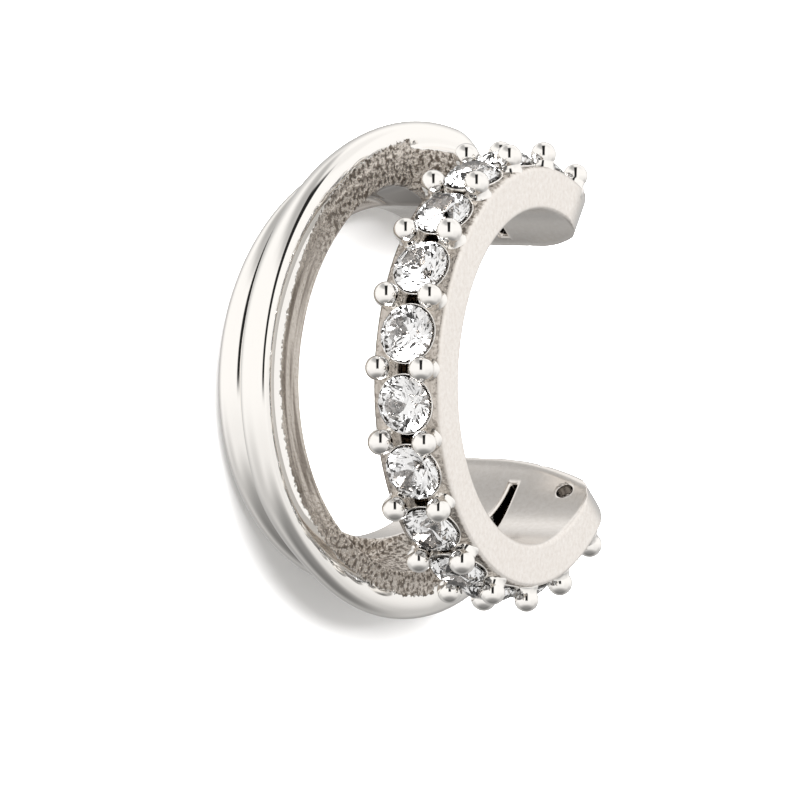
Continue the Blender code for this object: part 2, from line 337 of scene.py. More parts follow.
    def slot(self, angle: Values, radius: Values, offset: Values) -> Values:
        """Distance to the slot that parts the band from the strands, negative in the slot."""
        turned = np.abs(np.degrees(angle))
        closing = np.clip((turned - self.slot_closing) / (self.slot_end - self.slot_closing), 0.0, 1.0)
        near = mix(-self.band_half, -self.slot_tip + self.slot_tip_width / 2, eased(closing, 0.0, 1.0))
        far_share = 1.0 - (1.0 - closing) ** 2
        tip_far = -self.slot_tip - self.slot_tip_width / 2
        wall = mix(self.high_near(radius, angle), tip_far, far_share)
        under = eased(turned, *self.undercut)
        lip_radius = mix(self.high_lip, self.band_inner - self.lip_drop, under)
        low_radius = mix(self.high_underside, self.band_inner - self.underside_drop, under)
        lip_offset = mix(self.high_near(lip_radius, angle), tip_far, far_share)
        low_offset = self.low_near(low_radius, angle)
        run = lip_offset - low_offset
        slope = (lip_radius - low_radius) / run
        underside = (low_radius + slope * (offset - low_offset) - radius) / np.sqrt(1.0 + slope * slope)
        low_wall = offset - self.low_near(radius, angle)
        behind = smooth_max(offset - wall, smooth_min(low_wall, underside, self.groove), self.edge / 2)
        past_end = (turned - self.slot_end) * math.radians(1.0) * radius
        return np.maximum(np.maximum(offset - near, -behind), past_end)

    def mouth(self, angle: Values, radius: Values, offset: Values) -> Values:
        """Distance past an end's rounded edge, negative on the metal's side."""
        tip = np.where(angle > 0.0, self.upper_tip, self.lower_tip)
        corner = np.where(angle > 0.0, self.upper_corner_width, self.lower_corner_width)
        depth = self.band_half - offset
        width = self.band_half - self.low_far(self.band_outer, np.radians(self.lower_tip))
        near = np.clip(depth / corner, 0.0, 1.0)
        far = np.clip((width - depth) / self.far_corner_width, 0.0, 1.0)
        edge = tip - self.near_corner_cut * (1.0 - near) ** 2
        edge = edge - self.far_corner_cut * (1.0 - np.sqrt(far * (2.0 - far)))
        return (np.abs(angle) - np.radians(edge)) * radius

    def distance(self, angle: Values, radius: Values, offset: Values) -> Values:
        """Distance to the finished metal without its seats."""
        form = self.outer_form(angle, radius, offset)
        form = smooth_max(form, self.band_inner - radius, self.edge)
        form = smooth_max(form, self.low_far(radius, angle) - offset, self.edge)
        form = smooth_max(form, -self.slot(angle, radius, offset), self.edge)
        mouth = self.mouth(angle, radius, offset)
        rounded = smooth_max(offset - self.band_half, mouth, self.corner)
        return np.maximum(smooth_max(form, mouth, self.lip), rounded)


@dataclass(frozen=True)
class Setting:
    """The stones' seats, the pits between paired beads and the dimple in the lower end."""

    casting: Casting
    count: int = 13
    pitch: float = 18.89
    stone: float = 1.27
    girdle: float = 4.78
    clearance: float = 0.03
    seat_depth: float = 0.60
    pit_half: float = 0.17
    pit_floor: float = 4.32
    dimple_angle: float = -128.5
    dimple_offset: float = 0.15
    dimple_radius: float = 0.19
    dimple_depth: float = 0.32
    rim: float = 0.05
    seat_point: float = 0.05
    seat_slope: float = 0.75
    pit_corner: float = 0.1
    bead_radius: float = 4.99
    bead_offsets: Pair = (0.54, -0.54)
    bead_jitter: float = 0.03
    rim_radius: float = 4.70

    def nearest(self, angle: Values, first: float, count: int) -> Values:
        """The angle from the nearest of a row of places."""
        pitch = math.radians(self.pitch)
        number = np.clip(np.round((angle - math.radians(first)) / pitch), 0, count - 1)
        return angle - math.radians(first) - number * pitch

    def seat(self, angle: Values, radius: Values, offset: Values) -> Values:
        """Distance to the stones' seats, negative inside them."""
        first = -(self.count - 1) / 2 * self.pitch
        across = radius * np.sin(self.nearest(angle, first, self.count))
        wide = self.stone / 2 + self.clearance
        depth = np.clip((self.girdle - radius) / self.seat_depth, 0.0, 1.0)
        cone = (np.hypot(across, offset) - mix(wide, self.seat_point, depth)) * self.seat_slope
        return np.maximum(cone, self.girdle - self.seat_depth - radius)

    def pit(self, angle: Values, radius: Values, offset: Values) -> Values:
        """Distance to the pits between paired beads, negative inside them."""
        first = -self.count / 2 * self.pitch
        across = radius * np.sin(self.nearest(angle, first, self.count + 1))
        sides = smooth_max(np.abs(across), np.abs(offset), self.pit_corner) - self.pit_half
        return np.maximum(sides, self.pit_floor - radius)

    def dimple(self, angle: Values, radius: Values, offset: Values) -> Values:
        """Distance to the round dimple inside the lower end, negative inside it."""
        turned = angle - math.radians(self.dimple_angle)
        across = radius * np.sin(turned)
        wall = np.hypot(across, offset - self.dimple_offset) - self.dimple_radius
        return np.maximum(wall, radius - self.casting.band_inner - self.dimple_depth)

    def distance(self, angle: Values, radius: Values, offset: Values) -> Values:
        """Distance to the finished metal."""
        form = self.casting.distance(angle, radius, offset)
        for cut in (self.seat, self.pit, self.dimple):
            form = smooth_max(form, -cut(angle, radius, offset), self.rim)
        return form


@dataclass(frozen=True)
class RingGrid:
    """A grid whose lines follow the ring and the sides of its strands."""

    casting: Casting
    turn_step: float = 1.22
    last_turn: float = 146.0
    radius_step: float = 0.040
    margin: float = 0.13
    cells: tuple[int, ...] = (3, 42, 32, 23, 22, 3)

    def angles(self) -> np.ndarray:
        """Angles of the grid's planes, in radians."""
        count = round(2 * self.last_turn / self.turn_step) + 1
        return np.radians(np.linspace(-self.last_turn, self.last_turn, count))

    def radii(self) -> np.ndarray:
        """Radii of the grid's rings, with the inner surface halfway between two."""
        first = self.casting.band_inner - 3.5 * self.radius_step
        last = self.casting.high_crown + 3 * self.radius_step
        return np.arange(first, last, self.radius_step)

    def samples(self) -> tuple[np.ndarray, np.ndarray, np.ndarray]:
        """Angle, radius and offset of every grid point.

        Returns:
            Three arrays of one shape, by turn, radius and place across the ring.
        """
        angle, radius = np.meshgrid(self.angles(), self.radii(), indexing="ij")
        half = self.casting.band_half
        skin = self.radius_step / 2
        lines = (
            np.full_like(radius, half + self.margin),
            np.full_like(radius, half + skin),
            np.full_like(radius, -half - skin),
            self.casting.high_near(radius, angle) + skin,
            self.casting.high_far(radius, angle) - skin,
            self.casting.low_far(radius, angle) - skin,
            self.casting.low_far(radius, angle) - self.margin,
        )
        rows = [
            mix(start, end, step / count)
            for start, end, count in zip(lines, lines[1:], self.cells)
            for step in range(count)
        ]
        offset = np.stack([*rows, lines[-1]], axis=-1)
        shape = offset.shape
        return np.broadcast_to(angle[..., None], shape), np.broadcast_to(radius[..., None], shape), offset


def ring_to_flat(angle: np.ndarray, radius: np.ndarray, offset: np.ndarray) -> np.ndarray:
    """Takes angles, radii and offsets of the ring to X, Y and Z in the ring's frame."""
    return np.stack([-radius * np.sin(angle), -radius * np.cos(angle), offset], axis=-1)


def flat_to_ring(points: np.ndarray) -> tuple[np.ndarray, np.ndarray, np.ndarray]:
    """Takes points of the ring's frame to their angle, radius and offset."""
    angle = np.arctan2(-points[..., 0], -points[..., 1])
    return angle, np.hypot(points[..., 0], points[..., 1]), points[..., 2]


def surface_net(values: np.ndarray, places: np.ndarray) -> tuple[np.ndarray, np.ndarray]:
    """Nets the surface where a field on a grid changes sign.

    Args:
        values: The field at each grid point, negative inside.
        places: Where each grid point is.

    Returns:
        The surface's points, and its quads as rows of four point numbers.
    """
    inside = values < 0.0
    cell_shape = tuple(size - 1 for size in values.shape)
    total = np.zeros((*cell_shape, 3))
    crossings = np.zeros(cell_shape)
    edges = []
    for axis in range(3):
        first = [slice(None)] * 3
        second = [slice(None)] * 3
        first[axis] = slice(0, -1)
        second[axis] = slice(1, None)
        first, second = tuple(first), tuple(second)
        crossed = inside[first] != inside[second]
        gap = np.where(crossed, values[first] - values[second], 1.0)
        share = (np.where(crossed, values[first], 0.0) / gap)[..., None]
        point = np.where(crossed[..., None], mix(places[first], places[second], share), 0.0)
        others = [other for other in range(3) if other != axis]
        for one in (0, 1):
            for two in (0, 1):
                window = [slice(None)] * 3
                window[others[0]] = slice(one, one + cell_shape[others[0]])
                window[others[1]] = slice(two, two + cell_shape[others[1]])
                total += point[tuple(window)]
                crossings += crossed[tuple(window)]
        edges.append((axis, others, crossed, inside[first]))
    used = crossings > 0
    number = np.full(cell_shape, -1, dtype=np.int64)
    number[used] = np.arange(used.sum())
    points = total[used] / crossings[used][:, None]
    quads = []
    for axis, others, crossed, starts_inside in edges:
        inner = [slice(None)] * 3
        inner[others[0]] = slice(1, -1)
        inner[others[1]] = slice(1, -1)
        found = np.argwhere(crossed[tuple(inner)])
        found[:, others] += 1
        here = starts_inside[tuple(found.T)]
        corners = []
        for one, two in ((1, 1), (0, 1), (0, 0), (1, 0)):
            cell = found.copy()
            cell[:, others[0]] -= one
            cell[:, others[1]] -= two
            corners.append(number[tuple(cell.T)])
        quad = np.stack(corners, axis=1)
        flip = here if axis != 1 else ~here
        quad[flip] = quad[flip][:, ::-1]
        quads.append(quad)
    return points, np.concatenate(quads)


def slope_of(form: Callable, points: np.ndarray, reach: float = 0.004) -> np.ndarray:
    """The gradient of a field of the ring at points of its frame."""
    found = []
    for axis in range(3):
        step = np.zeros(3)
        step[axis] = reach
        found.append((form(*flat_to_ring(points + step)) - form(*flat_to_ring(points - step))) / (2 * reach))
    return np.stack(found, axis=-1)


def settle(form: Callable, points: np.ndarray, rounds: int, most: float) -> np.ndarray:
    """Moves points onto the surface of a field.

    Args:
        form: The field, by angle, radius and offset.
        points: Points near the surface, in the ring's frame.
        rounds: How often the points are moved.
        most: The furthest that a point moves in one round.

    Returns:
        The moved points.
    """
    for _ in range(rounds):
        slope = slope_of(form, points)
        steep = np.maximum((slope * slope).sum(-1), LEAST_STEEP)
        move = -(form(*flat_to_ring(points)) / steep)[:, None] * slope
        length = np.linalg.norm(move, axis=1, keepdims=True)
        points = points + move * np.minimum(1.0, most / np.maximum(length, LEAST_MOVE))
    return points


def mesh_from(name: str, points: np.ndarray, faces: np.ndarray) -> Mesh:
    """A smooth mesh of quads that point outwards.

    Args:
        name: The mesh's name.
        points: Its points, in metres.
        faces: Rows of four point numbers.

    Returns:
        The mesh.
    """
    corners = points[faces]
    middle = corners.mean(axis=1)
    spread = np.cross(corners[:, 2] - corners[:, 0], corners[:, 3] - corners[:, 1])
    if (middle * spread).sum() < 0.0:
        faces = faces[:, ::-1]
    mesh = bpy.data.meshes.new(name)
    mesh.vertices.add(len(points))
    mesh.vertices.foreach_set("co", points.astype(np.float32).ravel())
    mesh.loops.add(faces.size)
    mesh.loops.foreach_set("vertex_index", faces.astype(np.int32).ravel())
    mesh.polygons.add(len(faces))
    mesh.polygons.foreach_set("loop_start", np.arange(0, faces.size, 4, dtype=np.int32))
    mesh.update(calc_edges=True)
    mesh.validate()
    mesh.shade_smooth()
    return mesh


def new_object(name: str, data: ID) -> Object:
    """An object of the scene that holds a mesh, a camera or a lamp."""
    made = bpy.data.objects.new(name, data)
    bpy.context.scene.collection.objects.link(made)
    return made


@dataclass(frozen=True)
class CastSilver:
    """Sterling silver, investment cast: mirror polished where a wheel reaches, grainy elsewhere.

    The polished skin is a warm white mirror with a slight wave in it, and the band's side wall is
    satin. The slot's walls and the setting keep the mould's grain, greyed by oxide, with file lines
    along the ring, and the pits are dark brown. The same dark brown is painted shade in the narrow
    slit, on the slot's wall under the high strand and in the stones' seats, and the dimple is
    darkened halfway to it.
    """

    name: str = "cast_silver"
    polished: str = "#FAF8F5"
    satin: str = "#F6F2EE"
    dulled: str = "#EAE4DE"
    cast: str = "#D8D1C9"
    # Dark brown of the oxide in the grain and of the pits; also the colour of the painted shade in the slit,
    # under the high strand and in the seats.
    oxide_and_shade: str = "#64594E"
    polished_roughness: float = 0.06
    satin_roughness: float = 0.22
    cast_roughness: float = 0.27
    grain_mm: float = 0.07
    pebble_mm: float = 0.10
    wave_mm: float = 1.5
    line_mm: Triple = (2.2, 0.13, 0.13)
    grain_depth_mm: float = 0.05
    wave_depth_mm: float = 0.010
    grain_height: float = 0.35
    line_height: float = 0.25
    ragged: Pair = (1.6, -0.80)
    rough_edge: Pair = (0.40, 0.60)
    wall_edge: Pair = (0.02, 0.15)
    mottle_edge: Pair = (0.25, 0.80)
    spot_edge: Pair = (0.46, 0.60)
    spot_levels: Pair = (0.0, 0.9)
    streak_edge: Pair = (0.40, 0.64)
    streak_levels: Pair = (0.15, 1.0)

    def build(self) -> Material:
        """Makes the material."""
        material, tree, shader = new_material(self.name)
        shader.inputs["Metallic"].default_value = 1.0
        place = add_node(tree, "ShaderNodeTexCoord").outputs["Object"]
        marks = {
            region: add_node(tree, "ShaderNodeAttribute", attribute_name=region.value) for region in Region
        }
        side = marks[Region.SIDE].outputs["Fac"]
        # The pit attribute darkens the pits and the dimple, and holds the painted shade of the slit, the
        # undercut and the seats.
        pit = marks[Region.PIT_AND_SHADE].outputs["Fac"]
        coarse = marks[Region.COARSE].outputs["Fac"]
        grain = noise(tree, place, self.grain_mm, 2.0)
        pebble = noise(tree, place, self.pebble_mm, 2.0)
        wave = noise(tree, place, self.wave_mm, 0.0)
        stretched = add_node(
            tree,
            "ShaderNodeVectorMath",
            {0: marks[Region.RING].outputs["Vector"], 1: tuple(1.0 / size for size in self.line_mm)},
            operation="MULTIPLY",
        )
        lines = add_node(
            tree, "ShaderNodeTexNoise", {"Vector": stretched.outputs[0], "Scale": 1.0, "Detail": 1.0}
        ).outputs["Fac"]
        as_cast = marks[Region.AS_CAST].outputs["Fac"]
        ragged = maths(tree, "MULTIPLY_ADD", pebble, *self.ragged)
        ragged = maths(tree, "ADD", as_cast, ragged)
        rough = map_range(tree, ragged, self.rough_edge, RISING)
        walled = map_range(tree, as_cast, self.wall_edge, RISING)
        rough = maths(tree, "MULTIPLY", rough, walled)
        rough = maths(tree, "MAXIMUM", rough, marks[Region.SETTING].outputs["Fac"])
        mottle = map_range(tree, pebble, self.mottle_edge, RISING)
        brushed = blend(tree, mottle, linear(self.satin), linear(self.dulled))
        skin = blend(tree, side, linear(self.polished), brushed)
        tint = blend(tree, rough, skin, linear(self.cast))
        spots = map_range(tree, pebble, self.spot_edge, self.spot_levels)
        streaks = map_range(tree, lines, self.streak_edge, self.streak_levels)
        combed = maths(tree, "SUBTRACT", 1.0, coarse)
        streaks = maths(tree, "MULTIPLY", streaks, combed)
        stains = maths(tree, "MAXIMUM", maths(tree, "MULTIPLY", spots, coarse), streaks)
        stains = maths(tree, "MULTIPLY", stains, rough)
        # Oxide stains on the grain, joined with the darkened pits and the painted shade.
        dark = maths(tree, "MAXIMUM", stains, pit)
        colour = blend(tree, dark, tint, linear(self.oxide_and_shade))
        smooth = map_range(tree, side, RISING, (self.polished_roughness, self.satin_roughness))
        roughness = map_range(tree, rough, RISING, (smooth, self.cast_roughness))
        waved = add_node(
            tree,
            "ShaderNodeBump",
            {"Height": wave, "Distance": self.wave_depth_mm * MM, "Strength": 1.0},
        )
        lumps = maths(tree, "MULTIPLY", pebble, coarse)
        height = maths(tree, "MULTIPLY_ADD", grain, self.grain_height, lumps)
        scored = maths(tree, "MULTIPLY", lines, combed)
        height = maths(tree, "MULTIPLY_ADD", scored, self.line_height, height)
        relief = maths(tree, "MULTIPLY", height, rough)
        bump = add_node(
            tree,
            "ShaderNodeBump",
            {
                "Height": relief,
                "Distance": self.grain_depth_mm * MM,
                "Strength": 1.0,
                "Normal": waved.outputs["Normal"],
            },
        )
        tree.links.new(colour, shader.inputs["Base Color"])
        tree.links.new(roughness, shader.inputs["Roughness"])
        tree.links.new(bump.outputs["Normal"], shader.inputs["Normal"])
        return material


@dataclass(frozen=True)
class CubicZirconia:
    """Cut cubic zirconia: a clear, heavy crystal with polished facets and strong fire."""

    name: str = "cubic_zirconia"
    colour: str = "#FBFCFF"
    ior: float = 1.92
    cloud_mm: float = 0.8

    def build(self) -> Material:
        """Makes the material."""
        material, tree, shader = new_material(self.name)
        shader.inputs["Roughness"].default_value = 0.0
        shader.inputs["IOR"].default_value = self.ior
        shader.inputs["Transmission Weight"].default_value = 1.0
        place = add_node(tree, "ShaderNodeTexCoord").outputs["Object"]
        cloud = noise(tree, place, self.cloud_mm, 2.0)
        tint = blend(tree, cloud, linear(self.colour), (1.0, 1.0, 1.0, 1.0))
        tree.links.new(tint, shader.inputs["Base Color"])
        return material


@dataclass(frozen=True)
class Paper:
    """Smooth white backdrop paper with a faint tooth."""

    name: str = "backdrop_paper"
    colour: str = "#F6F6F6"
    roughness: float = 0.9
    specular: float = 0.1

    def build(self) -> Material:
        """Makes the material."""
        material, _, shader = new_material(self.name)
        shader.inputs["Base Color"].default_value = linear(self.colour)
        shader.inputs["Roughness"].default_value = self.roughness
        shader.inputs["Specular IOR Level"].default_value = self.specular
        return material


@dataclass
class RingRow:
    """Copies of one small piece, set by Geometry Nodes at even angles round the ring.

    Attributes:
        name: The finished piece's name.
        count: How many copies a row has.
        pitch: Angle between two copies.
        radius: How far from the ring's axis a copy's origin is.
        offsets: Axial place of each row.
        jitter: How much the copies differ in size.
        first_seed: Seed of the first row's sizes.
        sockets: The tree's input names, by label.
    """

    name: str
    count: int
    pitch: float
    radius: float
    offsets: tuple[float, ...] = (0.0,)
    jitter: float = 0.0
    first_seed: int = 7
    sockets: dict[str, str] = field(default_factory=dict)

    def tree(self) -> NodeTree:
        """Builds the tree that sets the copies."""
        tree = bpy.data.node_groups.new(self.name, "GeometryNodeTree")
        kinds = {
            "Copy": "Object",
            "Count": "Int",
            "Pitch": "Float",
            "Radius": "Float",
            "Offset": "Float",
            "Jitter": "Float",
            "Seed": "Int",
            "Finish": "Material",
        }
        for label, kind in kinds.items():
            socket = tree.interface.new_socket(name=label, in_out="INPUT", socket_type="NodeSocket" + kind)
            self.sockets[label] = socket.identifier
        tree.interface.new_socket(name="Geometry", in_out="OUTPUT", socket_type="NodeSocketGeometry")
        given = tree.nodes.new("NodeGroupInput").outputs
        index = add_node(tree, "GeometryNodeInputIndex").outputs[0]
        last = maths(tree, "SUBTRACT", given["Count"], 1.0)
        middle = maths(tree, "MULTIPLY", last, 0.5)
        turn = maths(tree, "MULTIPLY", maths(tree, "SUBTRACT", index, middle), given["Pitch"])
        side = maths(tree, "MULTIPLY", maths(tree, "SINE", turn), -1.0)
        front = maths(tree, "MULTIPLY", maths(tree, "COSINE", turn), -1.0)
        outward = add_node(tree, "ShaderNodeCombineXYZ", {"X": side, "Y": front}).outputs[0]
        out = add_node(
            tree, "ShaderNodeVectorMath", {0: outward, "Scale": given["Radius"]}, operation="SCALE"
        ).outputs[0]
        up = add_node(tree, "ShaderNodeCombineXYZ", {"Z": given["Offset"]}).outputs[0]
        place = add_node(tree, "ShaderNodeVectorMath", {0: out, 1: up}, operation="ADD").outputs[0]
        points = add_node(tree, "GeometryNodePoints", {"Count": given["Count"], "Position": place})
        facing = add_node(
            tree,
            "FunctionNodeAxesToRotation",
            {0: outward, 1: (0.0, 0.0, 1.0)},
            primary_axis="Z",
            secondary_axis="Y",
        )
        least = maths(tree, "SUBTRACT", 1.0, given["Jitter"])
        most = maths(tree, "ADD", 1.0, given["Jitter"])
        size = add_node(
            tree,
            "FunctionNodeRandomValue",
            {"Min": least, "Max": most, "Seed": given["Seed"]},
            data_type="FLOAT",
        )
        copy = add_node(tree, "GeometryNodeObjectInfo", {"Object": given["Copy"]})
        copies = add_node(
            tree,
            "GeometryNodeInstanceOnPoints",
            {
                "Points": points.outputs[0],
                "Instance": copy.outputs["Geometry"],
                "Rotation": facing.outputs[0],
                "Scale": size.outputs["Value"],
            },
        )
        real = add_node(tree, "GeometryNodeRealizeInstances", {"Geometry": copies.outputs[0]})
        dressed = add_node(
            tree,
            "GeometryNodeSetMaterial",
            {"Geometry": real.outputs[0], "Material": given["Finish"]},
        )
        add_node(tree, "NodeGroupOutput", {0: dressed.outputs[0]})
        return tree

    def build(self, copy: Mesh, rest: RestPose, finish: Material) -> Object:
        """Sets the copies and keeps them as one plain mesh.

        Args:
            copy: The mesh of one copy, which stands up along Z.
            rest: Where the ring lies.
            finish: The copies' material.

        Returns:
            The finished piece.
        """
        tree = self.tree()
        source = new_object(self.name + "_copy", copy)
        rows = bmesh.new()
        for number, offset in enumerate(self.offsets):
            carrier = new_object(self.name + "_row", bpy.data.meshes.new(self.name + "_row"))
            modifier = carrier.modifiers.new("row", "NODES")
            modifier.node_group = tree
            given = {
                "Copy": source,
                "Count": self.count,
                "Pitch": math.radians(self.pitch),
                "Radius": self.radius * MM,
                "Offset": offset * MM,
                "Jitter": self.jitter,
                "Seed": self.first_seed + number,
                "Finish": finish,
            }
            for label, value in given.items():
                modifier[self.sockets[label]] = value
            bpy.context.view_layer.update()
            graph = bpy.context.evaluated_depsgraph_get()
            made = bpy.data.meshes.new_from_object(carrier.evaluated_get(graph))
            rows.from_mesh(made)
            bpy.data.objects.remove(carrier)
        bpy.data.objects.remove(source)
        bmesh.ops.transform(rows, matrix=rest.matrix(), verts=rows.verts)
        mesh = bpy.data.meshes.new(self.name)
        rows.to_mesh(mesh)
        rows.free()
        mesh.materials.clear()
        mesh.materials.append(finish)
        mesh.shade_smooth()
        return new_object(self.name, mesh)


def turned_mesh(name: str, profile: list[Pair], sides: int) -> Mesh:
    """A mesh turned round Z from a profile.

    Args:
        name: The mesh's name.
        profile: Radius and height pairs in millimetres, from one end of the wall to the other.
        sides: How many sides it has.

    Returns:
        The mesh.
    """
    bm = bmesh.new()
    corners = [bm.verts.new((radius * MM, 0.0, height * MM)) for radius, height in profile]
    edges = [bm.edges.new(pair) for pair in zip(corners, corners[1:])]
    bmesh.ops.spin(
        bm, geom=corners + edges, cent=(0, 0, 0), axis=(0, 0, 1), angle=math.tau, steps=sides
    )
    bmesh.ops.remove_doubles(bm, verts=bm.verts, dist=1e-8)
    bmesh.ops.recalc_face_normals(bm, faces=bm.faces)
    mesh = bpy.data.meshes.new(name)
    bm.to_mesh(mesh)
    bm.free()
    mesh.shade_smooth()
    return mesh


@dataclass(frozen=True)
class Bead:
    """One bead prong: a polished dome on a waisted neck that runs into the band."""

    radius: float = 0.285
    neck: float = 0.245
    foot: float = 0.275
    band: float = -0.30
    depth: float = 0.55
    overhang: float = 118.0
    sides: int = 32
    steps: int = 12

    def profile(self) -> list[Pair]:
        """Radius and height pairs from the top of the dome to the foot."""
        points = []
        for step in range(self.steps + 1):
            turn = math.radians(self.overhang) * step / self.steps
            points.append((self.radius * math.sin(turn), self.radius * math.cos(turn)))
        start = points[-1][1]
        for step in range(1, self.steps + 1):
            share = step / self.steps
            waist = self.neck + (self.foot - self.neck) * share**3
            points.append((waist, mix(start, self.band, share)))
        points.append((self.foot, -self.depth))
        points.append((0.0, -self.depth))
        return points

    def build(self) -> Mesh:
        """Turns the bead."""
        return turned_mesh("bead", self.profile(), self.sides)


@dataclass(frozen=True)
class Collar:
    """The thin bright edge that a graver leaves round each seat."""

    inner: float = 0.642
    outer: float = 0.682
    depth: float = 0.30
    sides: int = 72
    steps: int = 6

    def build(self) -> Mesh:
        """Turns the collar."""
        half = (self.outer - self.inner) / 2
        points = [(self.inner, -self.depth)]
        for step in range(self.steps + 1):
            turn = math.pi * step / self.steps
            points.append((self.inner + half - half * math.cos(turn), half * math.sin(turn)))
        points.append((self.outer, -self.depth))
        points.append((self.inner, -self.depth))
        return turned_mesh("collar", points, self.sides)


@dataclass(frozen=True)
class Finishing:
    """Where each way of finishing the metal starts and ends, and how strongly it shows.

    Turns are in degrees from the front, and the other places in millimetres. The slit, undercut and
    seat settings place painted shade, and the pit and dimple settings darken those hollows.
    """

    wall_skin: Pair = (0.015, 0.05)
    wall_rim: Pair = (-0.08, 0.12)
    wall_share: float = 0.4
    wall_side: Pair = (-0.1, 0.1)
    pebbled_upper: Pair = (25.0, 60.0)
    pebbled_lower: Pair = (25.0, 50.0)
    least_coarse: float = 0.25
    slit_turn: Pair = (104.0, 118.0)
    slit_skin: Pair = (0.0, 0.03)
    slit_radius: Pair = (3.80, 3.90)
    undercut_side: Pair = (0.06, 0.14)
    undercut_turn: Pair = (30.0, 55.0)
    undercut_painted_shade: float = 0.6
    face_radius: Pair = (4.55, 4.64)
    face_side: Pair = (0.76, 0.82)
    face_turn: Pair = (122.0, 127.0)
    face_skin: Pair = (0.0, 0.03)
    face_coarse: float = 0.6
    pit_skin: Pair = (0.0, 0.04)
    dimple_skin: Pair = (0.0, 0.03)
    dimple_dark: float = 0.5
    seat_skin: Pair = (0.0, 0.02)
    seat_painted_shade: float = 0.8
    inner_skin: Pair = (0.05, 0.15)
    inner_satin: float = 0.8
    side_edge: Pair = (0.72, 0.80)


@dataclass
class CuffBody:
    """The cast metal: the band, both strands and the two broad ends."""

    casting: Casting
    setting: Setting
    rest: RestPose
    finishing: Finishing = Finishing()

    def build(self, finish: Material) -> Object:
        """Meshes the metal, marks how its stretches were left and where shade is painted on it."""
        grid = RingGrid(self.casting)
        angle, radius, offset = grid.samples()
        values = self.setting.distance(angle, radius, offset)
        points, faces = surface_net(values, ring_to_flat(angle, radius, offset))
        points = settle(self.setting.distance, points, rounds=4, most=grid.radius_step / 2)
        mesh = mesh_from("silver_body", self.rest.to_world(points), faces)
        self.mark(mesh, points)
        slope = slope_of(self.setting.distance, points)
        normals = slope / np.linalg.norm(slope, axis=1, keepdims=True)
        leaned = normals @ np.array(self.rest.matrix().to_3x3()).T
        mesh.normals_split_custom_set_from_vertices(leaned.astype(np.float32))
        mesh.materials.append(finish)
        return new_object("silver_body", mesh)

    def mark(self, mesh: Mesh, points: np.ndarray) -> None:
        """Writes the regions' attributes.

        Args:
            mesh: The body's mesh.
            points: Its points in the ring's frame, in millimetres.
        """
        look = self.finishing
        angle, radius, offset = flat_to_ring(points)
        turned = np.degrees(angle)
        slot = self.casting.slot(angle, radius, offset)
        seat = self.setting.seat(angle, radius, offset)
        pit = self.setting.pit(angle, radius, offset)
        dimple = self.setting.dimple(angle, radius, offset)
        skin = 1.0 - eased(slot, *look.wall_skin)
        pebbled = np.maximum(eased(turned, *look.pebbled_upper), eased(-turned, *look.pebbled_lower))
        rim = self.casting.wall_top(angle) + self.casting.high_shoulder * pebbled
        walls = skin * (1.0 - eased(radius, *(rim + place for place in look.wall_rim)))
        narrow = eased(np.abs(turned), *look.slit_turn)
        # Painted shade in the narrow slit near each end.
        slit = (1.0 - eased(slot, *look.slit_skin)) * narrow * eased(radius, *look.slit_radius)
        wall = self.casting.high_near(radius, angle)
        middle = mix(-self.casting.band_half, wall, look.wall_share)
        walls = walls * (1.0 - narrow) * eased(middle - offset, *look.wall_side)
        # Painted shade on the slot's wall under the high strand, which also takes it out of the as-cast
        # walls.
        undercut = skin * eased(wall - offset, *look.undercut_side)
        undercut = undercut * eased(turned, *look.undercut_turn) * (1.0 - narrow)
        walls = walls * (1.0 - undercut)
        on_face = eased(radius, *look.face_radius) * (1.0 - eased(np.abs(offset), *look.face_side))
        on_face = on_face * (1.0 - eased(np.abs(turned), *look.face_turn))
        on_face = on_face * eased(seat, *look.face_skin)
        coarse = np.maximum(mix(look.least_coarse, 1.0, pebbled), look.face_coarse * on_face)
        # Darkness for the oxide colour: the pits between the beads, and the painted shade in the slit.
        pits = np.maximum(1.0 - eased(pit, *look.pit_skin), slit)
        pits = np.maximum(pits, look.dimple_dark - look.dimple_dark * eased(dimple, *look.dimple_skin))
        # Painted shade under the high strand.
        pits = np.maximum(pits, look.undercut_painted_shade * undercut)
        # Painted shade in the stones' seats, which the stones show as dark facets.
        pits = np.maximum(pits, look.seat_painted_shade - look.seat_painted_shade * eased(seat, *look.seat_skin))
        inner = 1.0 - eased(radius, *(self.casting.band_inner + place for place in look.inner_skin))
        side = np.maximum(eased(offset, *look.side_edge), look.inner_satin * inner)
        marks = (
            (Region.AS_CAST, walls),
            (Region.COARSE, coarse),
            (Region.SETTING, on_face),
            (Region.PIT_AND_SHADE, np.clip(pits, 0.0, 1.0)),
            (Region.SIDE, side),
        )
        for region, values in marks:
            attribute = mesh.attributes.new(region.value, "FLOAT", "POINT")
            attribute.data.foreach_set("value", values.astype(np.float32))
        ring = np.stack([angle * radius, radius, offset], axis=-1)
        attribute = mesh.attributes.new(Region.RING.value, "FLOAT_VECTOR", "POINT")
        attribute.data.foreach_set("vector", ring.astype(np.float32).ravel())


